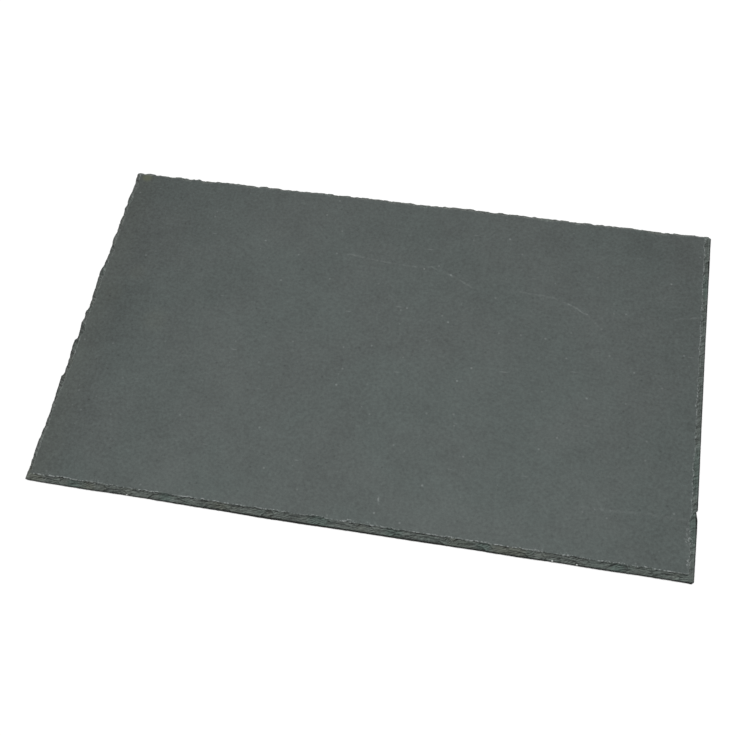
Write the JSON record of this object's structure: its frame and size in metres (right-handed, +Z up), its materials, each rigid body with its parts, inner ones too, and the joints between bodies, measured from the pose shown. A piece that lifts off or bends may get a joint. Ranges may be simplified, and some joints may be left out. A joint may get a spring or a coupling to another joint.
{
  "type": "slate slab",
  "caption": "Thin rectangular slab of natural slate with split flat faces and chipped, dressed edges, for serving or display.",
  "frame": {"origin": "centre of the footprint, on the resting face", "axes": "+X along the long side, +Y from the near long edge to the far one, +Z up through the thickness"},
  "size_m": [0.5318, 0.3272, 0.005],
  "materials": {
    "slate": "dull, finely grained cleavage face with chipped edges"
  },
  "bodies": {
    "root": {"slate_slab": "slate"}
  },
  "joints": []
}
